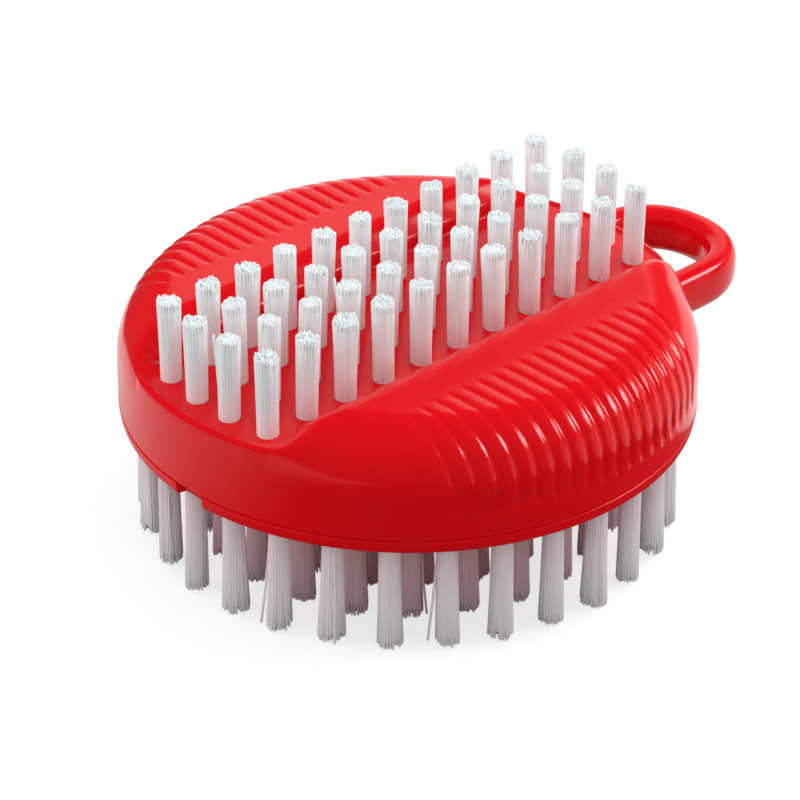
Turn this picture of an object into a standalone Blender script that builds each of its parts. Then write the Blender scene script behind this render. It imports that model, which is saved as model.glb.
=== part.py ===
"""Round two-sided nail brush with a hanging loop.

A moulded upper body carries four straight rows of short tufts in a channel
between two ribbed grip flanges. A round base plate snaps into it from below
and carries five rings of longer tufts. The brush stands on the lower tufts.

Frame: metres, +Z up, origin on the body's axis at the lower bristle tips,
+X along the channel towards the hanging loop.
"""
from math import atan2, cos, hypot, pi, sin, sqrt

import bpy
import bmesh
from mathutils import Vector
from mathutils.geometry import delaunay_2d_cdt

MM = 0.001

# Body and its heights
BODY_RADIUS = 35.0 * MM
FLARE = 0.1 * MM                # the wall is this much wider at its foot
WALL_HEIGHT = 9.05 * MM         # foot of the wall up to the channel floor
WALL_THICKNESS = 2.4 * MM
FLOOR_THICKNESS = 3.2 * MM
FLANGE_HEIGHT = 4.0 * MM        # channel floor up to the flange tops
FLANGE_ROOF = 2.7 * MM
SHOULDER_HEIGHT = 7.6 * MM
SHOULDER_WIDTH = 6.6 * MM
SHOULDER_ROUNDNESS = 1.85       # exponent of the shoulder curve on the flanges' flanks
CORNER_ROUNDNESS = 2.55         # at the flanges' ends, beside the channel
CORNER_BLEND_WIDTH = 9.0 * MM   # over which the ends turn into the flanks
END_ROUNDNESS = 5.0             # at the two open ends of the channel
END_BLEND_WIDTH = 3.0 * MM      # over which they turn into the flanges' ends
BODY_SEGMENTS = 72
SHOULDER_STEPS = 6

# Channel between the flanges
CHANNEL_HALF_WIDTH = 11.8 * MM
CHANNEL_STEP = 1.6 * MM         # upright part of the channel's side
CHANNEL_SLOPE_WIDTH = 2.5 * MM  # sloping band above it
CREST_DROP = 0.15 * MM          # flange top down to the band's upper edge
LIP_HEIGHT = 0.35 * MM
LIP_WIDTH = 0.9 * MM

# Grip ribs
RIB_COUNT = 19
RIB_PITCH = 2.16 * MM
RIB_START = 20.6 * MM           # distance of their inner ends from the axis plane
RIB_DROP = 6.0 * MM             # their lower ends, below the channel floor
RIB_WIDTH = 1.2 * MM
RIB_CREST = 0.45 * MM           # width of the flat top of a rib
RIB_HEIGHT = 0.3 * MM
RIB_ROOT = 0.6 * MM             # how far a rib reaches into the wall
RIB_SKIRT = 0.2 * MM            # its sides start this far under the surface

# Hanging loop
LOOP_HALF_WIDTH = 10.6 * MM
LOOP_REACH = 18.3 * MM          # from the wall to the loop's far end
LOOP_BOW = 10.7 * MM            # length of its rounded end
LOOP_THICKNESS = 3.9 * MM
LOOP_HEIGHT = 5.8 * MM
LOOP_ROUNDNESS = 2.17           # exponent of the loop's plan form
LOOP_EDGE_ROUNDNESS = 2.8       # and of the band's section
LOOP_STEPS = 20
LOOP_EDGE_STEPS = 14

# Base plate
PLATE_EDGE = 1.65 * MM
PLATE_THICKNESS = 3.4 * MM
PLATE_CHAMFER = 0.4 * MM
SNAP_RING_WIDTH = 2.2 * MM
SNAP_RING_HEIGHT = 2.0 * MM     # above the plate's panel
SNAP_BEAD = 0.55 * MM
SNAP_BEAD_HEIGHT = 0.9 * MM
NOTCH_WIDTH = 4.2 * MM
NOTCH_DEPTH = 1.1 * MM

# Tufts
TUFT_DIAMETER = 2.55 * MM
TOP_TUFT_LENGTH = 10.5 * MM
TOP_TUFTS = 11
OUTER_ROW_MARGIN = 3.82 * MM    # body's edge to the middle of a row's end tuft
INNER_ROW_MARGIN = 4.02 * MM
ROW_SPACING = 5.66 * MM
LOWER_TUFT_LENGTH = 14.7 * MM
RING_COUNT = 5
RING_MARGIN = 3.4 * MM          # body's edge to the middle of the outer ring's tufts
RING_STEP = 6                   # each ring has this many tufts more than the last
RING_TURNS = (0.0, 0.35, 0.59, 0.15, 0.57)  # where each ring starts, in parts of its pitch
STRAND_WIDTH = 1.2 * MM         # across the corners
TOP_STRAND_SIDES = 4
LOWER_STRAND_SIDES = 3
STRANDS_PER_TUFT = 3
STRAND_SPLAY = 0.10 * MM        # outward lean of a strand at its tip
AXIS_STRAND_WIDTH = 0.6 * MM    # of the one more strand in the middle tuft
TIP_VARIATION = 0.45 * MM

# Slices of the backing that hold the tufts
SLICE_THICKNESS = 1.0 * MM
SLICE_MARGIN = 0.35 * MM
CLEARANCE = 0.3 * MM
OVERSHOOT = 3.0 * MM            # how far a cutter passes the face it opens

# Heights that follow
PLATE_BOTTOM = LOWER_TUFT_LENGTH
SEAM_LOW = PLATE_BOTTOM + PLATE_EDGE
SEAM_HIGH = SEAM_LOW + CLEARANCE
FLOOR_Z = SEAM_HIGH + WALL_HEIGHT
TOP_Z = FLOOR_Z + FLANGE_HEIGHT
SHOULDER_Z = TOP_Z - SHOULDER_HEIGHT
INNER_RADIUS = BODY_RADIUS - WALL_THICKNESS
RING_SPACING = (BODY_RADIUS - RING_MARGIN) / RING_COUNT
PLATEAU_RADIUS = BODY_RADIUS - SHOULDER_WIDTH
SLICE_HALF_WIDTH = TUFT_DIAMETER / 2 + SLICE_MARGIN
CREST_Y = CHANNEL_HALF_WIDTH + CHANNEL_SLOPE_WIDTH
SNAP_BEAD_Z = PLATE_BOTTOM + PLATE_THICKNESS + SNAP_RING_HEIGHT / 2


def clear_scene():
    """Remove every object that the file opened with."""
    for obj in list(bpy.data.objects):
        bpy.data.objects.remove(obj, do_unlink=True)


def material(name, colour, roughness):
    """A plain dielectric material in the part's own colour."""
    mat = bpy.data.materials.new(name)
    mat.use_nodes = True
    shader = mat.node_tree.nodes["Principled BSDF"]
    shader.inputs["Base Color"].default_value = (*colour, 1.0)
    shader.inputs["Roughness"].default_value = roughness
    shader.inputs["Metallic"].default_value = 0.0
    mat.diffuse_color = (*colour, 1.0)
    return mat


def finish(bm, name, mat=None, smooth=True):
    """Turn a bmesh into a linked object with outward normals."""
    bmesh.ops.recalc_face_normals(bm, faces=bm.faces)
    mesh = bpy.data.meshes.new(name)
    bm.to_mesh(mesh)
    bm.free()
    obj = bpy.data.objects.new(name, mesh)
    bpy.context.scene.collection.objects.link(obj)
    if mat is not None:
        mesh.materials.append(mat)
    if smooth:
        mesh.shade_smooth()
        mesh.set_sharp_from_angle(angle=0.6)
    return obj


def hide_guide(obj):
    """Mark an object as a cutter or a guide."""
    obj.hide_render = True
    obj.display_type = "WIRE"
    return obj


def boolean(target, other, operation):
    """Add a Boolean modifier to the target."""
    mod = target.modifiers.new(operation.title() + " " + other.name, "BOOLEAN")
    mod.operation = operation
    mod.object = other
    mod.solver = "EXACT"
    if target.data.materials and not other.data.materials:
        other.data.materials.append(target.data.materials[0])
    hide_guide(other)
    return mod


def lathe(name, profile, steps, mat=None, turn=0.0):
    """Turn a closed (radius, z) profile about the Z axis, starting at the angle turn."""
    bm = bmesh.new()
    verts = [bm.verts.new((r * cos(turn), r * sin(turn), z)) for r, z in profile]
    on_axis = [r < 1e-9 for r, _ in profile]
    edges = []
    for i, vert in enumerate(verts):
        j = (i + 1) % len(verts)
        if not (on_axis[i] and on_axis[j]):
            edges.append(bm.edges.new((vert, verts[j])))
    bmesh.ops.spin(bm, geom=verts + edges, cent=(0, 0, 0), axis=(0, 0, 1), dvec=(0, 0, 0),
                   angle=2 * pi, steps=steps, use_merge=True, use_duplicate=False)
    bmesh.ops.remove_doubles(bm, verts=bm.verts, dist=1e-7)
    return finish(bm, name, mat)


def prism(name, outline, low, high, mat=None):
    """A straight prism over a plane outline of (x, y) points."""
    bm = bmesh.new()
    face = bm.faces.new([bm.verts.new((x, y, low)) for x, y in outline])
    top = bmesh.ops.extrude_face_region(bm, geom=[face])
    moved = [v for v in top["geom"] if isinstance(v, bmesh.types.BMVert)]
    bmesh.ops.translate(bm, verts=moved, vec=(0, 0, high - low))
    return finish(bm, name, mat)


def rounded_rectangle(half_x, half_y, corner, steps=3):
    """Outline of a rectangle with rounded corners, anticlockwise."""
    points = []
    for quarter in range(4):
        sx = 1 if quarter in (0, 3) else -1
        sy = 1 if quarter in (0, 1) else -1
        for k in range(steps + 1):
            a = quarter * pi / 2 + k * pi / 2 / steps
            points.append((sx * (half_x - corner) + corner * cos(a),
                           sy * (half_y - corner) + corner * sin(a)))
    return points


def circle(radius, steps, turn=0.0):
    """Outline of a circle, anticlockwise."""
    return [(radius * cos(turn + 2 * pi * k / steps), radius * sin(turn + 2 * pi * k / steps))
            for k in range(steps)]


def smooth_step(t):
    """Ease from 0 to 1 while t runs from 0 to 1."""
    t = min(1.0, max(0.0, t))
    return t * t * (3.0 - 2.0 * t)


def shoulder_exponent(angle):
    """Roundness of the shoulder, square over the channel's ends and round on the flanges."""
    past = abs(sin(angle)) * BODY_RADIUS - CHANNEL_HALF_WIDTH
    end = smooth_step(-past / END_BLEND_WIDTH)
    flank = smooth_step(past / CORNER_BLEND_WIDTH)
    return (CORNER_ROUNDNESS + (END_ROUNDNESS - CORNER_ROUNDNESS) * end
            + (SHOULDER_ROUNDNESS - CORNER_ROUNDNESS) * flank)


def shoulder_point(angle, part):
    """Radius and height on the shoulder; part runs from 0 at the wall to 1 on top."""
    n = shoulder_exponent(angle)
    a = part * pi / 2
    return (PLATEAU_RADIUS + SHOULDER_WIDTH * cos(a) ** (2 / n),
            SHOULDER_Z + SHOULDER_HEIGHT * sin(a) ** (2 / n))


def body_blank(mat):
    """The body's outer form, solid, before anything is cut out."""
    bm = bmesh.new()
    angles = [2 * pi * k / BODY_SEGMENTS for k in range(BODY_SEGMENTS)]
    rings = [[bm.verts.new(((BODY_RADIUS + FLARE) * cos(a), (BODY_RADIUS + FLARE) * sin(a), SEAM_HIGH))
              for a in angles]]
    for k in range(SHOULDER_STEPS + 1):
        ring = []
        for a in angles:
            r, z = shoulder_point(a, k / SHOULDER_STEPS)
            ring.append(bm.verts.new((r * cos(a), r * sin(a), z)))
        rings.append(ring)
    for lower, upper in zip(rings, rings[1:]):
        for k in range(BODY_SEGMENTS):
            j = (k + 1) % BODY_SEGMENTS
            bm.faces.new((lower[k], lower[j], upper[j], upper[k]))
    bm.faces.new(rings[0])
    bm.faces.new(rings[-1])
    return finish(bm, "upper_body", mat)


def channel_cutter():
    """The channel's open space, from its floor up past the flanges."""
    side = [(CHANNEL_HALF_WIDTH, FLOOR_Z), (CHANNEL_HALF_WIDTH, FLOOR_Z + CHANNEL_STEP),
            (CREST_Y, TOP_Z - CREST_DROP), (CREST_Y, TOP_Z + OVERSHOOT)]
    outline = side + [(-y, z) for y, z in reversed(side)]
    bm = bmesh.new()
    reach = BODY_RADIUS + OVERSHOOT
    face = bm.faces.new([bm.verts.new((-reach, y, z)) for y, z in outline])
    top = bmesh.ops.extrude_face_region(bm, geom=[face])
    moved = [v for v in top["geom"] if isinstance(v, bmesh.types.BMVert)]
    bmesh.ops.translate(bm, verts=moved, vec=(2 * reach, 0, 0))
    cutter = finish(bm, "channel_space", smooth=False)
    floor_radius = BODY_RADIUS - LIP_WIDTH
    lip_ring = lathe("lip_space", [(floor_radius, FLOOR_Z - OVERSHOOT), (BODY_RADIUS + 2 * OVERSHOOT,
                                   FLOOR_Z - OVERSHOOT), (BODY_RADIUS + 2 * OVERSHOOT,
                                   FLOOR_Z + LIP_HEIGHT), (floor_radius, FLOOR_Z + LIP_HEIGHT)],
                     BODY_SEGMENTS, turn=pi / BODY_SEGMENTS)
    boolean(cutter, lip_ring, "DIFFERENCE")
    return cutter


def cavity_cutter():
    """The hollow under the channel floor, with the snap groove in its wall."""
    groove = SNAP_BEAD_HEIGHT / 2 + CLEARANCE
    roof = FLOOR_Z - FLOOR_THICKNESS
    profile = [(0, SEAM_HIGH - OVERSHOOT), (INNER_RADIUS, SEAM_HIGH - OVERSHOOT),
               (INNER_RADIUS, SNAP_BEAD_Z - groove), (INNER_RADIUS + SNAP_BEAD, SNAP_BEAD_Z - groove),
               (INNER_RADIUS + SNAP_BEAD, SNAP_BEAD_Z + groove), (INNER_RADIUS, SNAP_BEAD_Z + groove),
               (INNER_RADIUS, roof), (0, roof)]
    return lathe("body_hollow", profile, BODY_SEGMENTS, turn=pi / BODY_SEGMENTS)


def flange_cavity(side):
    """The hollow inside one flange, above the height of the channel floor's underside."""
    inner = CREST_Y + WALL_THICKNESS
    outer = PLATEAU_RADIUS + SHOULDER_WIDTH / 2 - WALL_THICKNESS
    start = atan2(inner, sqrt(outer ** 2 - inner ** 2))
    points = [(outer * cos(a), side * outer * sin(a))
              for a in [start + (pi - 2 * start) * k / 16 for k in range(17)]]
    low = FLOOR_Z - FLOOR_THICKNESS - CLEARANCE
    return prism("flange_hollow_" + ("back" if side > 0 else "front"), points, low, TOP_Z - FLANGE_ROOF)


def rib(index, side, x):
    """One grip rib, swept over the shoulder in a plane across the brush."""
    stations = []
    foot = FLOOR_Z - RIB_DROP
    reach = sqrt(BODY_RADIUS ** 2 - x * x)
    angle = atan2(reach, x)
    near = hypot(x, RIB_START)
    if near < PLATEAU_RADIUS:
        stations.append((RIB_START, TOP_Z, Vector((0, 0, 1))))
    for k in range(SHOULDER_STEPS, 0, -1):
        part = (k - 0.5) / SHOULDER_STEPS
        r, z = shoulder_point(angle, part)
        if r <= near:
            continue
        ahead = shoulder_point(angle, part + 0.25 / SHOULDER_STEPS)
        behind = shoulder_point(angle, part - 0.25 / SHOULDER_STEPS)
        slope = Vector((ahead[1] - behind[1], behind[0] - ahead[0])).normalized()
        y = sqrt(r * r - x * x)
        stations.append((y, z, Vector((slope.x * x / r, slope.x * y / r, slope.y))))
    wall = Vector((x / BODY_RADIUS, reach / BODY_RADIUS, 0))
    stations += [(reach, SHOULDER_Z - CLEARANCE, wall), (reach, foot, wall)]
    points = [Vector((x, y, z)) for y, z, _ in stations]
    bm = bmesh.new()
    loops = []
    for i, (y, z, normal) in enumerate(stations):
        before = points[max(0, i - 1)]
        after = points[min(len(points) - 1, i + 1)]
        across = normal.cross(after - before).normalized()
        at_end = i in (0, len(stations) - 1)
        crest_height = -RIB_SKIRT if at_end else RIB_HEIGHT
        side_height = -2 * RIB_SKIRT if at_end else -RIB_SKIRT
        base, crest = RIB_WIDTH / 2, RIB_CREST / 2
        corners = [(-base, -RIB_ROOT), (base, -RIB_ROOT), (base, side_height), (crest, crest_height),
                   (-crest, crest_height), (-base, side_height)]
        ring = []
        for w, h in corners:
            p = points[i] + across * w + normal * h
            ring.append(bm.verts.new((p.x, side * p.y, p.z)))
        loops.append(ring)
    for first, second in zip(loops, loops[1:]):
        for k in range(len(first)):
            j = (k + 1) % len(first)
            bm.faces.new((first[k], first[j], second[j], second[k]))
    bm.faces.new(loops[0])
    bm.faces.new(loops[-1])
    return finish(bm, f"rib_{'back' if side > 0 else 'front'}_{index + 1:02d}", smooth=False)


def power(value, exponent):
    """A power that keeps the sign."""
    return (abs(value) ** exponent) * (1 if value >= 0 else -1)


def loop_path():
    """Centre line of the hanging loop, from inside the wall out and back."""
    inset = LOOP_THICKNESS / 2
    half, bow = LOOP_HALF_WIDTH - inset, LOOP_BOW - inset
    bend = BODY_RADIUS + LOOP_REACH - LOOP_BOW
    root = sqrt(BODY_RADIUS ** 2 - LOOP_HALF_WIDTH ** 2) - WALL_THICKNESS / 2
    path = [(root, -half)]
    for k in range(LOOP_STEPS + 1):
        a = -pi / 2 + pi * k / LOOP_STEPS
        path.append((bend + bow * power(cos(a), 2 / LOOP_ROUNDNESS),
                     half * power(sin(a), 2 / LOOP_ROUNDNESS)))
    path.append((root, half))
    return path


def hanging_loop():
    """The rounded band of the loop, its foot level with the plate's and clear of its edge."""
    path = loop_path()
    middle = PLATE_BOTTOM + LOOP_HEIGHT / 2
    section = []
    for k in range(LOOP_EDGE_STEPS):
        a = 2 * pi * (k + 0.5) / LOOP_EDGE_STEPS
        section.append((LOOP_THICKNESS / 2 * power(cos(a), 2 / LOOP_EDGE_ROUNDNESS),
                        middle + LOOP_HEIGHT / 2 * power(sin(a), 2 / LOOP_EDGE_ROUNDNESS)))
    bm = bmesh.new()
    loops = []
    for i, (x, y) in enumerate(path):
        before, after = path[max(0, i - 1)], path[min(len(path) - 1, i + 1)]
        tangent = Vector((after[0] - before[0], after[1] - before[1]))
        if i in (0, len(path) - 1):
            tangent = Vector((1 if i == 0 else -1, 0))
        tangent.normalize()
        out = Vector((tangent.y, -tangent.x))
        loops.append([bm.verts.new((x + out.x * w, y + out.y * w, z)) for w, z in section])
    for first, second in zip(loops, loops[1:]):
        for k in range(len(section)):
            j = (k + 1) % len(section)
            bm.faces.new((first[k], first[j], second[j], second[k]))
    bm.faces.new(loops[0])
    bm.faces.new(loops[-1])
    band = finish(bm, "loop_band", smooth=False)
    plate_space = prism("plate_space", circle(BODY_RADIUS + CLEARANCE, 2 * BODY_SEGMENTS),
                        PLATE_BOTTOM - OVERSHOOT, SEAM_HIGH + CLEARANCE / 4)
    boolean(band, plate_space, "DIFFERENCE")
    return band


def row_layout():
    """The four straight rows as (name, y, pitch)."""
    rows = []
    for k in range(4):
        y = (k - 1.5) * ROW_SPACING
        margin = OUTER_ROW_MARGIN if k in (0, 3) else INNER_ROW_MARGIN
        half = sqrt((BODY_RADIUS - margin) ** 2 - y * y)
        rows.append((f"top_row_{k + 1}", y, half / ((TOP_TUFTS - 1) / 2)))
    return rows


def row_half_length(pitch):
    """Half the length of a row's slice of backing."""
    return pitch * (TOP_TUFTS - 1) / 2 + SLICE_HALF_WIDTH


def unit_noise(seed):
    """A repeatable value from 0 to 1 for a whole number."""
    value = sin(seed * 12.9898 + 4.1414) * 43758.5453
    return value - int(value) if value >= 0 else value - int(value) + 1


def tuft_strands(x, y, sides, seed, length):
    """The strands of one tuft as (foot outline, shift of the tip, length)."""
    strands = []
    ring = (TUFT_DIAMETER - STRAND_WIDTH) / 2
    turn = 2 * pi * unit_noise(seed)
    for k in range(STRANDS_PER_TUFT):
        a = turn + 2 * pi * k / STRANDS_PER_TUFT
        cx, cy = x + ring * cos(a), y + ring * sin(a)
        corners = [a + 2 * pi * j / sides for j in range(sides)]
        foot = [(cx + STRAND_WIDTH / 2 * cos(b), cy + STRAND_WIDTH / 2 * sin(b)) for b in corners]
        lean = STRAND_SPLAY * (1.0 + 2.0 * unit_noise(seed * 7 + k))
        strands.append((foot, (lean * cos(a), lean * sin(a)), length(seed * 11 + k)))
    return strands


def inside(point, outline):
    """True where the point lies within the outline."""
    x, y = point
    hit = False
    for (x0, y0), (x1, y1) in zip(outline, outline[1:] + outline[:1]):
        if (y0 > y) != (y1 > y) and x < x0 + (y - y0) * (x1 - x0) / (y1 - y0):
            hit = not hit
    return hit


def fill(loops, holes):
    """Triangles over the outer loop, less the inner loops and the holes."""
    points, edges = [], []
    for outline in loops + holes:
        first = len(points)
        points += [Vector(p) for p in outline]
        edges += [(first + k, first + (k + 1) % len(outline)) for k in range(len(outline))]
    verts, _, faces, origins, _, _ = delaunay_2d_cdt(points, edges, [], 1, 1e-7)
    kept = []
    for face in faces:
        centre = sum((verts[i] for i in face), Vector((0, 0))) / len(face)
        spot = (centre.x, centre.y)
        if not inside(spot, loops[0]) or any(inside(spot, o) for o in loops[1:] + holes):
            continue
        kept.append([origins[i][0] for i in face])
    return points, kept


def bristle_piece(name, loops, face_z, back_z, strands, mat):
    """A slice of backing with its strands standing on one face, as one body."""
    bm = bmesh.new()
    direction = 1.0 if face_z > back_z else -1.0
    feet = [foot for foot, _, _ in strands]
    points, faces = fill(loops, feet)
    front = [bm.verts.new((p.x, p.y, face_z)) for p in points]
    for face in faces:
        bm.faces.new([front[i] for i in face])
    start = 0
    back = []
    for outline in loops:
        ring = [bm.verts.new((x, y, back_z)) for x, y in outline]
        for k in range(len(outline)):
            j = (k + 1) % len(outline)
            bm.faces.new((front[start + k], front[start + j], ring[j], ring[k]))
        back += ring
        start += len(outline)
    _, faces = fill(loops, [])
    for face in faces:
        bm.faces.new([back[i] for i in face])
    for foot, shift, length in strands:
        tip = [bm.verts.new((x + shift[0], y + shift[1], face_z + direction * length)) for x, y in foot]
        for k in range(len(foot)):
            j = (k + 1) % len(foot)
            bm.faces.new((front[start + k], front[start + j], tip[j], tip[k]))
        bm.faces.new(tip)
        start += len(foot)
    return finish(bm, name, mat, smooth=False)


def top_row(name, y, pitch, seed, mat):
    """One straight row of short tufts on its slice of the channel floor."""
    strands = []
    for k in range(TOP_TUFTS):
        x = (k - (TOP_TUFTS - 1) / 2) * pitch
        strands += tuft_strands(x, y, TOP_STRAND_SIDES, seed + k,
                                lambda s: TOP_TUFT_LENGTH - TIP_VARIATION * unit_noise(s))
    outline = rounded_rectangle(row_half_length(pitch), SLICE_HALF_WIDTH, SLICE_HALF_WIDTH * 0.6)
    outline = [(px, py + y) for px, py in outline]
    return bristle_piece(name, [outline], FLOOR_Z, FLOOR_Z - SLICE_THICKNESS, strands, mat)


def ring_steps(ring):
    """Sides of a ring's slice of backing."""
    return 12 + 6 * ring


def lower_ring(ring, mat):
    """One ring of long tufts on its slice of the plate; the first holds the centre tuft too."""
    radius = ring * RING_SPACING
    count = ring * RING_STEP
    places = [(0.0, 0.0)] if ring == 1 else []
    turns = [2 * pi * (k + RING_TURNS[ring - 1]) / count for k in range(count)]
    places += [(radius * cos(a), radius * sin(a)) for a in turns]
    strands = []
    for k, (x, y) in enumerate(places):
        strands += tuft_strands(x, y, LOWER_STRAND_SIDES, 100 * ring + k,
                                lambda s: LOWER_TUFT_LENGTH)
    if ring == 1:
        middle = circle(AXIS_STRAND_WIDTH / 2, LOWER_STRAND_SIDES)
        strands.append((middle, (0.0, 0.0), LOWER_TUFT_LENGTH))
    loops = [circle(radius + SLICE_HALF_WIDTH, ring_steps(ring))]
    if ring > 1:
        loops.append(circle(radius - SLICE_HALF_WIDTH, ring_steps(ring)))
    return bristle_piece(f"lower_ring_{ring}", loops, PLATE_BOTTOM, PLATE_BOTTOM + SLICE_THICKNESS,
                         strands, mat)


def base_plate(mat):
    """The round plate: a visible edge, a panel and a snap ring that stands up inside the body."""
    panel = PLATE_BOTTOM + PLATE_THICKNESS
    fit = INNER_RADIUS - CLEARANCE
    bead = SNAP_BEAD_HEIGHT / 2
    top = panel + SNAP_RING_HEIGHT
    profile = [(0, PLATE_BOTTOM), (BODY_RADIUS - PLATE_CHAMFER, PLATE_BOTTOM),
               (BODY_RADIUS, PLATE_BOTTOM + PLATE_CHAMFER), (BODY_RADIUS, SEAM_LOW), (fit, SEAM_LOW),
               (fit, SNAP_BEAD_Z - bead), (fit + SNAP_BEAD, SNAP_BEAD_Z),
               (fit, SNAP_BEAD_Z + bead), (fit, top), (fit - SNAP_RING_WIDTH, top),
               (fit - SNAP_RING_WIDTH, panel), (0, panel)]
    plate = lathe("base_plate", profile, BODY_SEGMENTS, mat)
    for ring in range(1, RING_COUNT + 1):
        radius = ring * RING_SPACING
        outer = radius + SLICE_HALF_WIDTH + CLEARANCE
        low = PLATE_BOTTOM - OVERSHOOT
        high = PLATE_BOTTOM + SLICE_THICKNESS + CLEARANCE
        if ring == 1:
            profile = [(0, low), (outer, low), (outer, high), (0, high)]
        else:
            inner = radius - SLICE_HALF_WIDTH - CLEARANCE
            profile = [(inner, low), (outer, low), (outer, high), (inner, high)]
        boolean(plate, lathe(f"plate_groove_{ring}", profile, ring_steps(ring)), "DIFFERENCE")
    half = NOTCH_WIDTH / 2
    inner, outer = BODY_RADIUS - NOTCH_DEPTH, BODY_RADIUS + OVERSHOOT
    notch = prism("pry_notch", [(-outer, -half), (-inner, -half), (-inner, half), (-outer, half)],
                  PLATE_BOTTOM - OVERSHOOT, SEAM_LOW + CLEARANCE / 2)
    boolean(plate, notch, "DIFFERENCE")
    return plate


def upper_body(mat):
    """The body with its channel, hollow, row slots, loop and grip ribs."""
    body = body_blank(mat)
    ribs = []
    for index in range(RIB_COUNT):
        x = (index - (RIB_COUNT - 1) / 2) * RIB_PITCH
        if hypot(x, RIB_START) > BODY_RADIUS - SHOULDER_WIDTH / 2:
            continue
        for side in (-1, 1):
            ribs.append(rib(index, side, x))
    for piece in ribs:
        boolean(body, piece, "UNION")
    boolean(body, channel_cutter(), "DIFFERENCE")
    boolean(body, hanging_loop(), "UNION")
    boolean(body, cavity_cutter(), "DIFFERENCE")
    for side in (-1, 1):
        boolean(body, flange_cavity(side), "DIFFERENCE")
    for name, y, pitch in row_layout():
        half_x = row_half_length(pitch) + CLEARANCE
        half_y = SLICE_HALF_WIDTH + CLEARANCE
        outline = rounded_rectangle(half_x, half_y, SLICE_HALF_WIDTH * 0.6 + CLEARANCE)
        slot = prism("slot_" + name, [(px, py + y) for px, py in outline],
                     FLOOR_Z - SLICE_THICKNESS - CLEARANCE, FLOOR_Z + CHANNEL_STEP / 2)
        boolean(body, slot, "DIFFERENCE")
    return body


def main():
    """Build every piece of the brush."""
    clear_scene()
    red = material("red_plastic", (0.72, 0.012, 0.018), 0.22)
    white = material("bristle_white", (0.80, 0.82, 0.83), 0.45)
    upper_body(red)
    base_plate(red)
    for number, (name, y, pitch) in enumerate(row_layout()):
        top_row(name, y, pitch, 1000 * (number + 1), white)
    for ring in range(1, RING_COUNT + 1):
        lower_ring(ring, white)


main()
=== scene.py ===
"""Looks of a round two-sided nail brush with a hanging loop.

The moulded upper body, its loop, the base plate and the bristle tufts are
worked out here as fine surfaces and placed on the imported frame. Their sizes are
in millimetres and become metres when a mesh is made. The studio is in metres.
The brush stands on its lower tufts, +X points to the loop and +Z up.
"""
import logging
import math
from dataclasses import dataclass
from enum import Enum

import bmesh
import bpy
import numpy as np
from mathutils import Matrix


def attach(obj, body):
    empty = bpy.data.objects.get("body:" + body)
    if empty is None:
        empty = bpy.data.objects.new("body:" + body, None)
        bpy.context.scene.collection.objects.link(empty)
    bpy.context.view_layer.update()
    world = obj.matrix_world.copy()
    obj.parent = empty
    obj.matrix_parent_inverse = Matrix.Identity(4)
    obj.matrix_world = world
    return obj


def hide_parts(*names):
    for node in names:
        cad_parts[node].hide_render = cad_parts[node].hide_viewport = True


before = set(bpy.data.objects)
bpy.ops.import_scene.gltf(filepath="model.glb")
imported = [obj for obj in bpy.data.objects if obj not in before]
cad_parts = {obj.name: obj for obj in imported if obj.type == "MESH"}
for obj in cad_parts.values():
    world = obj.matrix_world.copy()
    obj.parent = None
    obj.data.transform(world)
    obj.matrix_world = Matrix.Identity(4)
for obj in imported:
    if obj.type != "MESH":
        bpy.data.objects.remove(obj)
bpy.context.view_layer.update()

MM = 0.001
BODY = "root"
LOG = logging.getLogger("nail_brush")

Array = np.ndarray
Triple = tuple[float, float, float]
Object = bpy.types.Object
Material = bpy.types.Material
Tree = bpy.types.NodeTree
Socket = bpy.types.NodeSocket


class Slot(Enum):
    """Material slots of the record."""

    RED = "red_plastic"
    WHITE = "bristle_white"


class Reach(Enum):
    """What a lamp lights: only mirrored highlights, or all but those."""

    GLOSS = "gloss"
    MATT = "matt"


# Shared mathematics

def smooth_step(t: Array) -> Array:
    """Ease 3t^2 - 2t^3 from 0 to 1, held outside that span."""
    t = np.clip(t, 0.0, 1.0)
    return t * t * (3.0 - 2.0 * t)


def soft_max(a: Array, b: Array, width: float) -> Array:
    """The larger of two fields, rounded where they meet.

    Formula: max(a, b) + width / 4 * h^2 with h = max(0, 1 - |a - b| / width).

    Args:
        a: First field.
        b: Second field.
        width: How far the rounding reaches.

    Returns:
        The blended field.
    """
    h = np.clip(1.0 - np.abs(a - b) / width, 0.0, 1.0)
    return np.maximum(a, b) + 0.25 * width * h * h


def soft_min(a: Array, b: Array, width: float) -> Array:
    """The smaller of two fields, rounded where they meet."""
    return -soft_max(-a, -b, width)


def signed_power(value: Array, exponent: float) -> Array:
    """A power of the size that keeps the sign."""
    return np.sign(value) * np.abs(value) ** exponent


def heading(a: Array) -> Array:
    """Unit vectors (x, y) at angles."""
    return np.stack([np.cos(a), np.sin(a)], axis=-1)


def xyz(x: Array, y: Array, z: Array) -> Array:
    """Points from coordinates that are broadcast against each other."""
    return np.stack(np.broadcast_arrays(x, y, z), axis=-1)


def grid_faces(rows: int, cols: int, close_rows: bool = False,
               close_cols: bool = False) -> Array:
    """Quads of a grid whose vertex (i, j) has the index i * cols + j.

    Args:
        rows: Number of grid rows.
        cols: Number of vertices in a row.
        close_rows: Joins the last row to the first.
        close_cols: Joins the last column to the first.

    Returns:
        An array of four indices a face.
    """
    i = np.arange(rows if close_rows else rows - 1)[:, None]
    j = np.arange(cols if close_cols else cols - 1)[None, :]
    ni, nj = (i + 1) % rows, (j + 1) % cols
    quads = np.stack([i * cols + j, i * cols + nj, ni * cols + nj, ni * cols + j], axis=-1)
    return quads.reshape(-1, 4)


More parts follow.
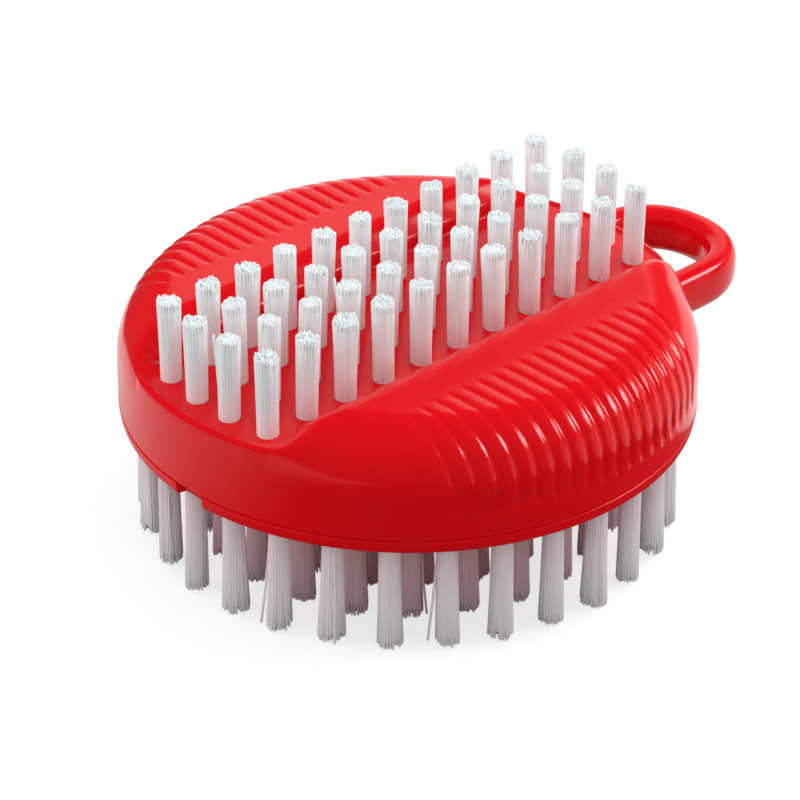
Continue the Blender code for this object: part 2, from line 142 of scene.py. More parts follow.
class Surface:
    """Grids and faces gathered into one mesh."""

    def __init__(self) -> None:
        """Start with nothing in it."""
        self.points: list[Array] = []
        self.faces: list[list[int]] = []
        self.count = 0

    def add_grid(self, grid: Array, flip: bool = False, close_rows: bool = False,
                 close_cols: bool = False) -> None:
        """Add a (rows, cols, 3) grid of points in millimetres.

        Args:
            grid: The points.
            flip: Turns the faces over.
            close_rows: Joins the last row to the first.
            close_cols: Joins the last column to the first.
        """
        faces = grid_faces(*grid.shape[:2], close_rows, close_cols)
        if flip:
            faces = faces[:, ::-1]
        self.add_points(grid.reshape(-1, 3), faces.tolist())

    def add_points(self, points: Array, faces: list[list[int]]) -> None:
        """Add points in millimetres, with faces that count them from 0."""
        self.points.append(points)
        self.faces += [[self.count + index for index in face] for face in faces]
        self.count += len(points)

    def build(self, name: str, sharp: float, weld: float = 0.0) -> Object:
        """Make the object, smooth shaded.

        Args:
            name: Name of the piece.
            sharp: Angle in degrees over which an edge stays sharp.
            weld: Distance in millimetres under which vertices are merged. After a weld all
                faces are turned outwards again.

        Returns:
            The new object, at the origin.
        """
        mesh = bpy.data.meshes.new(name)
        points = np.concatenate(self.points) * MM
        mesh.from_pydata(points.tolist(), [], self.faces)
        if weld:
            bm = bmesh.new()
            bm.from_mesh(mesh)
            bmesh.ops.remove_doubles(bm, verts=bm.verts, dist=weld * MM)
            bmesh.ops.dissolve_degenerate(bm, edges=bm.edges, dist=weld * MM)
            bmesh.ops.recalc_face_normals(bm, faces=bm.faces)
            bm.to_mesh(mesh)
            bm.free()
        mesh.shade_smooth()
        mesh.set_sharp_from_angle(angle=math.radians(sharp))
        mesh.update()
        return add_object(name, mesh)


def add_object(name: str, data: bpy.types.ID) -> Object:
    """Make an object at the origin and link it to the scene."""
    obj = bpy.data.objects.new(name, data)
    bpy.context.scene.collection.objects.link(obj)
    return obj


def place(obj: Object, mat: Material, slot: Slot, node: str) -> None:
    """Finish a piece and let it ride on the body in the place of a CAD node.

    Args:
        obj: The piece.
        mat: Its only material.
        slot: The record's slot meant for the material; it is not used.
        node: The CAD node that the piece stands for.
    """
    obj.data.materials.append(mat)
    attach(obj, BODY)
    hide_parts(node)
    LOG.info("%s: %d vertices, %d faces", obj.name, len(obj.data.vertices),
             len(obj.data.polygons))


# Finishes

def feed(tree: Tree, node: bpy.types.Node, sockets: dict) -> None:
    """Set a node's inputs.

    Args:
        tree: The node tree.
        node: The node.
        sockets: A value for each input, or the output that is linked to it.
    """
    for socket, value in sockets.items():
        if isinstance(value, Socket):
            tree.links.new(value, node.inputs[socket])
        else:
            node.inputs[socket].default_value = value


def add_node(tree: Tree, kind: str, sockets: dict | None = None,
             **settings: object) -> bpy.types.Node:
    """Add a node to a tree.

    Args:
        tree: The node tree.
        kind: The node's type.
        sockets: A value for each input, or the output that is linked to it.
        **settings: The node's own settings.

    Returns:
        The node.
    """
    node = tree.nodes.new(kind)
    for name, value in settings.items():
        setattr(node, name, value)
    feed(tree, node, sockets or {})
    return node


def new_material(name: str) -> tuple[Material, Tree, bpy.types.Node]:
    """A node material with its Principled shader."""
    mat = bpy.data.materials.new(name)
    mat.use_nodes = True
    return mat, mat.node_tree, mat.node_tree.nodes["Principled BSDF"]


def moulded_skin_group() -> Tree:
    """Node group of a moulded surface: cloudy colour, uneven gloss and a faint orange-peel bump.

    Returns:
        A shader node group with Colour, Roughness and Normal.
    """
    group = bpy.data.node_groups.new("moulded_skin", "ShaderNodeTree")
    for label, way, kind in (
            ("Light Colour", "INPUT", "Color"), ("Deep Colour", "INPUT", "Color"),
            ("Low Roughness", "INPUT", "Float"), ("High Roughness", "INPUT", "Float"),
            ("Peel", "INPUT", "Float"), ("Colour", "OUTPUT", "Color"),
            ("Roughness", "OUTPUT", "Float"), ("Normal", "OUTPUT", "Vector")):
        group.interface.new_socket(label, in_out=way, socket_type=f"NodeSocket{kind}")
    given = add_node(group, "NodeGroupInput").outputs
    coords = add_node(group, "ShaderNodeTexCoord").outputs["Object"]

    def noise(scale: float, detail: float, roughness: float = 0.5) -> Socket:
        """Noise in the piece's own coordinates."""
        return add_node(group, "ShaderNodeTexNoise", {
            "Vector": coords, "Scale": scale, "Detail": detail,
            "Roughness": roughness}).outputs["Fac"]

    colour = add_node(group, "ShaderNodeMix", {
        "Factor": noise(55.0, 3.0), "A": given["Light Colour"], "B": given["Deep Colour"]},
        data_type="RGBA")
    gloss = add_node(group, "ShaderNodeMapRange", {
        "Value": noise(260.0, 5.0, 0.6), "From Min": 0.3, "From Max": 0.7,
        "To Min": given["Low Roughness"], "To Max": given["High Roughness"]})
    bump = add_node(group, "ShaderNodeBump", {
        "Distance": 0.00004, "Strength": given["Peel"], "Height": noise(900.0, 2.0)})
    add_node(group, "NodeGroupOutput", {
        "Colour": colour.outputs["Result"], "Roughness": gloss.outputs["Result"],
        "Normal": bump.outputs["Normal"]})
    return group


@dataclass(frozen=True)
class MouldedFinish:
    """Glossy moulded plastic with a faint unevenness."""

    name: str
    light: Triple
    deep: Triple
    low_roughness: float
    high_roughness: float
    peel: float
    specular: float

    def make(self, group: Tree) -> Material:
        """Build the material with the shared skin group.

        Args:
            group: The moulded skin node group.

        Returns:
            The material.
        """
        mat, tree, shader = new_material(self.name)
        skin = add_node(tree, "ShaderNodeGroup", {
            "Light Colour": (*self.light, 1.0), "Deep Colour": (*self.deep, 1.0),
            "Low Roughness": self.low_roughness, "High Roughness": self.high_roughness,
            "Peel": self.peel}, node_tree=group).outputs
        feed(tree, shader, {
            "Base Color": skin["Colour"], "Roughness": skin["Roughness"],
            "Normal": skin["Normal"], "Specular IOR Level": self.specular})
        return mat


@dataclass(frozen=True)
class BristleFinish:
    """Pale nylon, each strand with its own tone, and a painted pink reflection of the body's red.
    """

    name: str
    dark: Triple
    pale: Triple
    painted_bounce: Triple
    roughness: float
    specular: float

    def make(self) -> Material:
        """Build the material, which reads the strands' own tone and their share of painted red
        reflection.

        Returns:
            The material.
        """
        mat, tree, shader = new_material(self.name)
        tone = add_node(tree, "ShaderNodeAttribute", attribute_name="tone")
        painted_bounce = add_node(tree, "ShaderNodeAttribute", attribute_name="painted_bounce")
        strand = add_node(tree, "ShaderNodeMix", {
            "Factor": tone.outputs["Fac"], "A": (*self.dark, 1.0), "B": (*self.pale, 1.0)},
            data_type="RGBA")
        # Painted reflection: pink mixed in for red light that bounces from the body onto the
        # strands.
        painted_bounce_mix = add_node(tree, "ShaderNodeMix", {
            "Factor": painted_bounce.outputs["Fac"], "A": strand.outputs["Result"],
            "B": (*self.painted_bounce, 1.0)}, data_type="RGBA")
        coords = add_node(tree, "ShaderNodeTexCoord")
        stretch = add_node(tree, "ShaderNodeMapping", {
            "Vector": coords.outputs["Object"], "Scale": (1.0, 1.0, 0.15)})
        grain = add_node(tree, "ShaderNodeTexNoise", {
            "Vector": stretch.outputs["Vector"], "Scale": 2500.0, "Detail": 2.0})
        bump = add_node(tree, "ShaderNodeBump", {
            "Distance": 0.00003, "Strength": 0.4, "Height": grain.outputs["Fac"]})
        feed(tree, shader, {
            "Base Color": painted_bounce_mix.outputs["Result"], "Roughness": self.roughness,
            "Normal": bump.outputs["Normal"], "Specular IOR Level": self.specular})
        return mat


# The moulded upper body

@dataclass
class UpperBody:
    """The body: wall, rounded shoulder, two ribbed flanges and the channel between them."""

    radius: float = 35.0
    flare: float = 0.05
    foot: float = 16.38
    floor: float = 25.7
    top: float = 29.7
    shoulder: float = 22.1
    plateau: float = 28.4
    wall: float = 2.4
    roof: float = 22.5
    flank_exponent: float = 1.85
    corner_exponent: float = 2.55
    end_exponent: float = 5.0
    flank_blend: float = 9.0
    end_blend: float = 3.0
    channel: float = 11.8
    step: float = 1.6
    slope_rise: float = 0.9
    draft: float = 0.06
    end_draft: float = 2.0
    draft_from: float = 30.0
    draft_reach: float = 5.0
    lip_radius: float = 34.0
    lip_width: float = 0.3
    lip_height: float = 0.35
    edge_round: float = 0.8
    foot_round: float = 0.6
    end_round: float = 1.6
    round_from: float = 30.5
    round_reach: float = 4.5
    step_round: float = 0.35
    groove_count: int = 18
    groove_pitch: float = 2.21
    groove_middle: float = -0.97
    groove_start: float = 20.75
    groove_bow: float = 0.7
    groove_fade: float = 0.9
    groove_low: float = 19.7
    groove_low_fade: float = 1.6
    groove_narrow: float = 2.0
    groove_shallow: float = 0.11
    groove_deep: float = 0.27
    groove_deepening: float = 1.5
    crown_start: float = 14.6
    crown_end: float = 21.4
    crown_drop: float = 0.17
    crown_height: float = 4.0
    bottom_edge: float = 0.25
    block_x: float = 21.6
    block_y: float = 20.0
    fan_x: float = 20.6
    fan_y: float = 14.0
    share_fade: float = 4.0
    row_before: float = 0.6
    row_after: float = 0.7
    row_marks: tuple[float, ...] = (13.3, 15.7)
    row_counts: tuple[int, ...] = (17, 7, 10, 7, 2, 16, 7)
    columns: int = 216
    shoulder_steps: int = 40
    plateau_step: float = 0.5
    line_steps: int = 56
    wall_steps: int = 12
    wall_last: tuple[float, ...] = (0.5, 0.38, 0.3)
    edge_steps: int = 6
    probe: float = 0.004
    least_slope_squared: float = 0.05
    longest_move: float = 0.25

    def exponent(self, y: Array, r: Array) -> Array:
        """Roundness of the shoulder: square over the channel's ends, round on the flanges.

        Formula: with past = |y| / r * radius - channel, corner + (end - corner) *
        ease(-past / end_blend) + (flank - corner) * ease(past / flank_blend).
        """
        past = np.abs(y) / np.maximum(r, 1e-9) * self.radius - self.channel
        end = smooth_step(-past / self.end_blend)
        flank = smooth_step(past / self.flank_blend)
        return (self.corner_exponent + (self.end_exponent - self.corner_exponent) * end
                + (self.flank_exponent - self.corner_exponent) * flank)

    def ramp(self, r: Array) -> Array:
        """Width of the channel side's upright part, wider where it runs out at the ends."""
        return self.draft + self.end_draft * smooth_step((r - self.draft_from) / self.draft_reach)

    def shoulder_height(self, x: Array, y: Array) -> Array:
        """Height of the outer form: shoulder + rise * (1 - q^n)^(1/n), q across the shoulder."""
        r = np.hypot(x, y)
        n = self.exponent(y, r)
        q = np.clip((r - self.plateau) / (self.radius - self.plateau), 0.0, 1.0)
        return self.shoulder + (self.top - self.shoulder) * (1.0 - q ** n) ** (1.0 / n)

    def floor_height(self, r: Array) -> Array:
        """Height of the channel's floor, with the lip at its ends."""
        return self.floor + self.lip_height * smooth_step((r - self.lip_radius) / self.lip_width)

    def channel_height(self, x: Array, y: Array) -> Array:
        """Height of the channel's floor, its ramps and the sloping bands above them."""
        r = np.hypot(x, y)
        across = np.abs(y) - self.channel
        width = self.ramp(r)
        rise = self.step * np.clip(across / width, 0.0, 1.0)
        rise = rise + self.slope_rise * np.clip(across - width, 0.0, None)
        return np.where(across < 0.0, self.floor_height(r), self.floor + rise)

    def grooves(self, p: Array) -> Array:
        """Depth of the grip grooves, which leave rounded ribs between them.

        Formula: depth * ((1 - cos(2 pi u)) / 2)^narrow with u = (x - middle) / pitch, whose
        grooves lie at the halves. A groove starts at a rounded end and deepens over the shoulder.
        """
        x, y, z = p[..., 0], p[..., 1], p[..., 2]
        u = (x - self.groove_middle) / self.groove_pitch
        wave = 0.5 - 0.5 * np.cos(2.0 * np.pi * u)
        wave = np.where(np.abs(u) < self.groove_count / 2.0, wave, 0.0)
        inner = np.abs(y) - self.groove_start - self.groove_bow * (1.0 - wave)
        low = smooth_step((z - self.groove_low) / self.groove_low_fade + 0.5)
        deep = smooth_step((self.top - z) / self.groove_deepening)
        depth = self.groove_shallow + (self.groove_deep - self.groove_shallow) * deep
        return depth * wave ** self.groove_narrow * smooth_step(inner / self.groove_fade) * low

    def crown(self, p: Array) -> Array:
        """How far the flange's top falls away from the channel, an ease of |y|."""
        span = self.crown_end - self.crown_start
        fall = smooth_step((np.abs(p[..., 1]) - self.crown_start) / span)
        low = smooth_step((p[..., 2] - self.top) / self.crown_height + 1.0)
        return self.crown_drop * fall * low

    def skin(self, p: Array) -> Array:
        """Signed distance to the rounded skin with its grooves.

        Formula: the outer form's distance g / |grad g| with g = (a^n + b^n)^(1/n) - 1,
        cut by the channel's floor, ramps and slopes with rounded edges.

        Args:
            p: Points in millimetres, last axis x, y, z.

        Returns:
            The distance at each point, positive outside.
        """
        x, y, z = p[..., 0], p[..., 1], p[..., 2]
        r = np.hypot(x, y)
        n = self.exponent(y, r)
        width, rise = self.radius - self.plateau, self.top - self.shoulder
        a = np.clip((r - self.plateau) / width, 1e-6, None)
        b = np.clip((z - self.shoulder) / rise, 1e-6, None)
        total = a ** n + b ** n
        slope = np.hypot(a ** (n - 1.0) / width, b ** (n - 1.0) / rise) * total ** (1.0 / n - 1.0)
        rounded = (total ** (1.0 / n) - 1.0) / slope
        wall = r - self.radius - self.flare * (self.shoulder - z) / (self.shoulder - self.foot)
        outer = np.where(z > self.shoulder, rounded, wall)
        across = np.abs(y) - self.channel
        ramp = self.ramp(r)
        upright = ((z - self.floor) * ramp - across * self.step) / np.hypot(ramp, self.step)
        slant = z - self.floor - self.step - self.slope_rise * (across - ramp)
        slant = slant / math.hypot(1.0, self.slope_rise)
        flange = soft_max(upright, slant, self.step_round)
        end = smooth_step((r - self.round_from) / self.round_reach)
        foot = self.foot_round + self.end_round * end
        channel = soft_min(z - self.floor_height(r), flange, foot)
        outer = outer + self.crown(p) + self.grooves(p)
        return soft_max(outer, channel, self.edge_round)

    def settle(self, p: Array, rounds: int = 7) -> Array:
        """Move points onto the skin by Newton steps p - F grad F / |grad F|^2.

        Args:
            p: Points near the skin.
            rounds: Number of steps.

        Returns:
            The settled points.
        """
        steps = self.probe * np.eye(3)
        for _ in range(rounds):
            value = self.skin(p)
            grad = np.stack([(self.skin(p + step) - self.skin(p - step)) / (2.0 * self.probe)
                             for step in steps], axis=-1)
            size = np.maximum((grad ** 2).sum(-1), self.least_slope_squared)
            move = (value / size)[..., None] * grad
            length = np.linalg.norm(move, axis=-1, keepdims=True)
            p = p - move * np.minimum(1.0, self.longest_move / np.maximum(length, 1e-9))
        return p

    def cross_rows(self) -> tuple[Array, Array, Array]:
        """Rows across the middle block, closer together at the channel's side and the crown.

        Returns:
            Their y, their share of the ramp's widening and their y on the outline.
        """
        ramp = self.channel + self.draft
        marks = (0.0, self.channel - self.row_before, self.channel, ramp,
                 ramp + self.row_after, *self.row_marks, self.block_y)
        half = np.concatenate([[0.0]] + [
            np.linspace(start, end, count + 1)[1:]
            for start, end, count in zip(marks, marks[1:], self.row_counts)])
        share = np.clip((half - self.channel) / self.draft, 0.0, 1.0)
        share = share * smooth_step((self.block_y - half) / self.share_fade)
        corner = math.atan2(self.block_y, self.block_x)
        past = (half - self.fan_y).clip(0.0) / (self.block_y - self.fan_y)
        edge = half + (smooth_step(past) * past
                       * (self.radius * math.sin(corner) - self.block_y))
        return tuple(np.concatenate([-v[:0:-1], v]) for v in (half, share, edge))

    def line_radii(self, start: Array, exponent: Array) -> Array:
        """Radii along lines that run from the middle block to the outline.

        Formula: steps of plateau_step up to the plateau's edge, then
        plateau + width * cos(t)^(2/n) with t from 90 degrees to 0.

        Args:
            start: Radius where each line starts.
            exponent: Roundness of the shoulder that each line crosses.

        Returns:
            An array of radii, one row a line.
        """
        width = self.radius - self.plateau
        inside = (start - self.plateau) / self.plateau_step
        q = np.clip((start - self.plateau) / width, 0.0, 1.0)
        outside = (1.0 - np.arccos(q ** (exponent / 2.0)) / (math.pi / 2)) * self.shoulder_steps
        first = np.where(start < self.plateau, inside, outside)[:, None]
        s = np.linspace(0.0, 1.0, self.line_steps + 1)[None, :]
        at = first + (self.shoulder_steps - first) * s
        t = math.pi / 2 * (1.0 - np.clip(at, 0.0, None) / self.shoulder_steps)
        t = np.clip(t, 0.0, math.pi / 2)
        curve = self.plateau + width * np.cos(t) ** (2.0 / exponent[:, None])
        radii = np.where(at < 0.0, self.plateau + at * self.plateau_step, curve)
        radii[:, 0] = start
        radii[:, -1] = self.radius
        return radii

    def side_block(self, plan: Array) -> Array:
        """Carry plan lines over the shoulder, down the wall and round inside the body.

        Args:
            plan: Points (lines, steps, 2) from the middle block to the outline.

        Returns:
            Points (lines, steps, 3) of the closed block.
        """
        rim_x, rim_y = plan[:, -1].T[..., None] / self.radius
        x, y = plan[..., 0], plan[..., 1]
        z = np.minimum(self.shoulder_height(x, y), self.channel_height(x, y))
        heights = np.linspace(self.shoulder, self.foot + self.wall_last[0], self.wall_steps + 1)
        heights = np.append(heights[1:], self.foot + np.array(self.wall_last[1:]))
        drop = (self.shoulder - heights) / (self.shoulder - self.foot)
        radii = self.radius + self.flare * drop
        wall = xyz(rim_x * radii, rim_y * radii, heights)
        outer = self.settle(np.concatenate([xyz(x, y, z), wall], axis=1))
        turn = np.linspace(0.0, math.pi / 2, self.edge_steps + 1)[1:]
        inner, edge = self.radius - self.wall, self.bottom_edge
        radii = np.append(self.radius + self.flare - edge + edge * np.cos(turn),
                          [inner, inner, 0.0])
        heights = np.append(self.foot + edge - edge * np.sin(turn),
                            [self.foot, self.roof, self.roof])
        return np.concatenate([outer, xyz(rim_x * radii, rim_y * radii, heights)], axis=1)

    def side_lines(self, place_at: Array, edge: Array, block: float,
                   end_y: Array) -> tuple[Array, Array]:
        """Lines from one side of the middle block to the outline.

        Args:
            place_at: Where each line starts along the block's side.
            edge: The same coordinate where it meets the outline.
            block: Distance of the block's side from the axis.
            end_y: The lines' y on the outline.

        Returns:
            Radii (lines, steps) and the coordinate (lines, steps) along them.
        """
        start = np.hypot(place_at, block)
        radii = self.line_radii(start, self.exponent(end_y, np.full_like(start, self.radius)))
        along = (radii - start[:, None]) / (self.radius - start[:, None])
        return radii, place_at[:, None] + (edge - place_at)[:, None] * along

    def build(self) -> Object:
        """Make the body's skin from a middle block and the blocks at its four sides.

        Returns:
            The body's object.
        """
        y, share, y_edge = self.cross_rows()
        x = np.linspace(-self.block_x, self.block_x, self.columns + 1)
        corner = math.atan2(self.block_y, self.block_x)
        fan = (np.abs(x) - self.fan_x).clip(0.0) / (self.block_x - self.fan_x)
        x_edge = x + np.sign(x) * fan * (self.radius * math.cos(corner) - self.block_x)
        end_y = np.sqrt(self.radius ** 2 - x_edge ** 2)
        surface = Surface()
        gx, gy = np.meshgrid(x, y, indexing="ij")
        height = np.minimum(self.channel_height(gx, gy), self.top)
        surface.add_grid(self.settle(xyz(gx, gy, height)), flip=True)
        for side in (-1.0, 1.0):
            radii, ly = self.side_lines(y, y_edge, self.block_x, y_edge)
            ly = ly + share[:, None] * (self.ramp(radii) - self.draft)
            lx = np.sqrt(radii ** 2 - ly ** 2)
            block = self.side_block(np.stack([side * lx, ly], axis=-1))
            surface.add_grid(block, flip=side < 0)
            radii, lx = self.side_lines(x, x_edge, self.block_y, end_y)
            ly = np.sqrt(radii ** 2 - lx ** 2)
            block = self.side_block(np.stack([lx, side * ly], axis=-1))
            surface.add_grid(block, flip=side > 0)
        return surface.build("upper_body_shell", sharp=50.0, weld=0.0015)


@dataclass
class HangingLoop:
    """The rounded band of the loop, rooted in the body's wall."""

    body_radius: float = 35.0
    half_width: float = 10.6
    reach: float = 18.3
    bow: float = 10.7
    thickness: float = 3.9
    height: float = 5.8
    low: float = 14.7
    plan_exponent: float = 2.17
    edge_exponent: float = 2.8
    clear_radius: float = 35.3
    clear_height: float = 16.72
    root_radii: tuple[float, ...] = (33.6, 34.6, 35.0)
    wall_radius: float = 35.05
    free_radius: float = 36.2
    crease: float = 0.005
    fillet: float = 0.7
    arm_steps: int = 13
    bend_steps: int = 96
    section_steps: int = 56

    def section(self) -> tuple[Array, Array]:
        """Superellipse section |u|^n + |v|^n = 1, as sideways and upward offsets."""
        a = 2.0 * math.pi * np.arange(self.section_steps) / self.section_steps
        power = 2.0 / self.edge_exponent
        return (self.thickness / 2.0 * signed_power(np.cos(a), power),
                self.height / 2.0 * signed_power(np.sin(a), power))

    def arm(self, side: float, bend_x: float, across: Array, up: Array) -> Array:
        """Stations of one straight arm, from inside the wall to the bend.

        Args:
            side: -1 for the arm at -Y, 1 for the one at +Y.
            bend_x: Where the bend starts.
            across: Sideways offsets of the section, outward positive.
            up: Upward offsets of the section.

        Returns:
            Points (stations, section, 3).
        """
        half = self.half_width - self.thickness / 2.0
        radii = np.concatenate([
            self.root_radii, np.linspace(self.wall_radius, self.clear_radius - self.crease, 5),
            np.linspace(self.clear_radius + self.crease, self.free_radius, 9)])
        gap = np.clip(radii - self.body_radius, 0.0, self.fillet)
        grow = self.fillet - np.sqrt(self.fillet ** 2 - (self.fillet - gap) ** 2)
        stations = []
        for r, g in zip(radii, grow):
            size = np.hypot(across, up)
            y = half + across * (1.0 + g / size)
            z = self.low + self.height / 2.0 + up * (1.0 + np.where(up > 0.0, g, 0.0) / size)
            if r < self.clear_radius:
                z = np.maximum(z, self.clear_height)
            x = np.sqrt(r * r - y * y)
            stations.append(xyz(x, side * y, z))
        last = stations[-1]
        for t in np.linspace(0.0, 1.0, self.arm_steps + 1)[1:-1]:
            point = last.copy()
            point[:, 0] = last[:, 0] + (bend_x - last[:, 0]) * t
            stations.append(point)
        return np.array(stations)

    def build(self) -> Object:
        """Make the closed band of the loop.

        Formula: centre line x = bend + bow cos(a)^(2/m), y = half sin(a)^(2/m).

        Returns:
            The loop's object.
        """
        across, up = self.section()
        inset = self.thickness / 2.0
        half, bow = self.half_width - inset, self.bow - inset
        bend_x = self.body_radius + self.reach - self.bow
        a = np.linspace(-math.pi / 2, math.pi / 2, self.bend_steps + 1)
        power = 2.0 / self.plan_exponent
        cx = bend_x + bow * signed_power(np.cos(a), power)
        cy = half * signed_power(np.sin(a), power)
        tx, ty = np.gradient(cx), np.gradient(cy)
        tx[0], ty[0], tx[-1], ty[-1] = 1.0, 0.0, -1.0, 0.0
        size = np.hypot(tx, ty)
        ox, oy = ty / size, -tx / size
        bend = xyz(cx[:, None] + ox[:, None] * across, cy[:, None] + oy[:, None] * across,
                   self.low + self.height / 2.0 + up)
        near = self.arm(-1.0, bend_x, across, up)
        far = self.arm(1.0, bend_x, across, up)[::-1]
        band = np.concatenate([near, bend, far])
        surface = Surface()
        surface.add_grid(band, close_cols=True)
        steps = len(across)
        last = (len(band) - 1) * steps
        surface.faces += [list(range(steps)), list(range(last, last + steps))[::-1]]
        return surface.build("hanging_loop", sharp=50.0, weld=0.002)


@dataclass
class BasePlate:
    """The round plate under the body, with its rounded edge and the pry notch."""

    radius: float = 35.0
    low: float = 14.7
    seam: float = 16.35
    panel: float = 18.1
    snap_radius: float = 32.3
    snap_top: float = 20.1
    snap_width: float = 2.2
    edge: float = 0.45
    ledge: float = 0.07
    lip: float = 0.2
    taper: float = 0.08
    band: float = 3.0
    disc_radii: tuple[float, ...] = (0.0, 8.0, 16.0, 24.0)
    notch_half: float = 2.1
    notch_depth: float = 1.1
    notch_round: float = 0.35
    notch_steps: int = 60
    turns: int = 360

    def angles(self) -> Array:
        """Angles round the plate, closer together at the notch."""
        half = self.notch_half / self.radius
        fine = np.linspace(-2.0 * half, 2.0 * half, self.notch_steps + 1) + math.pi
        coarse = np.linspace(math.pi + 2.0 * half, 3.0 * math.pi - 2.0 * half, self.turns)[1:-1]
        return np.concatenate([fine, coarse])

    def rim(self, a: Array) -> Array:
        """Radius of the edge at each angle: the circle, cut flat over the notch."""
        y = self.radius * np.sin(a - math.pi)
        near = np.cos(a - math.pi) > 0.0
        cut = smooth_step(0.5 + (self.notch_half - np.abs(y)) / self.notch_round)
        flat = (self.radius - self.notch_depth) / np.maximum(np.cos(a - math.pi), 0.5)
        return self.radius - np.where(near, cut, 0.0) * (self.radius - flat)

    def build(self) -> Object:
        """Make the plate by carrying its profile round the rim.

        Returns:
            The plate's object.
        """
        a = self.angles()
        rim = self.rim(a)
        bend = np.linspace(0.0, math.pi / 2, 9)
        e, lip = self.edge, self.lip
        lower = [(-self.taper - e + e * math.sin(t), self.low + e - e * math.cos(t)) for t in bend]
        upper = [(self.ledge - lip + lip * math.cos(t), self.seam - lip + lip * math.sin(t))
                 for t in bend[::2]]
        offsets = np.array([(-self.band, self.low)] + lower + upper)
        bead = self.snap_radius - self.snap_width
        ring = np.array([(self.snap_radius, self.seam), (self.snap_radius, self.snap_top),
                         (bead, self.snap_top), (bead, self.panel), (0.0, self.panel)])
        radii = np.concatenate([
            np.broadcast_to(self.disc_radii, (len(a), len(self.disc_radii))),
            rim[:, None] + offsets[None, :, 0],
            np.broadcast_to(ring[:, 0], (len(a), len(ring)))], axis=1)
        heights = np.concatenate([np.full(len(self.disc_radii), self.low), offsets[:, 1],
                                  ring[:, 1]])
        surface = Surface()
        surface.add_grid(xyz(radii * np.cos(a)[:, None], radii * np.sin(a)[:, None], heights),
                         close_rows=True)
        return surface.build("base_plate_disc", sharp=40.0, weld=0.001)


# Bristles

@dataclass(frozen=True)
class TuftStyle:
    """How one tuft's strands stand."""

    splay: float
    split: float
    lean_x: float
    lean_y: float
    slant: float
    slant_turn: float
    jag: float
    extra: float
    strays: int


@dataclass(frozen=True)
class TuftHabit:
    """Limits within which the tufts of one side of the brush differ."""

    splay: tuple[float, float]
    split: float
    slant: float
    jag: tuple[float, float]
    extra: float
    stray_share: float
    lean: float = 0.10

    def draw(self, rng: np.random.Generator) -> TuftStyle:
        """Draw one tuft's style at random within these limits.

        Args:
            rng: The tuft's own random numbers.

        Returns:
            The style.
        """
        return TuftStyle(
            splay=rng.uniform(*self.splay), split=abs(rng.normal(0.0, self.split)),
            lean_x=rng.normal(0.0, self.lean), lean_y=rng.normal(0.0, self.lean),
            slant=rng.uniform(0.0, self.slant), slant_turn=rng.uniform(0.0, 2.0 * math.pi),
            jag=rng.uniform(*self.jag), extra=self.extra,
            strays=int(rng.random() < self.stray_share))


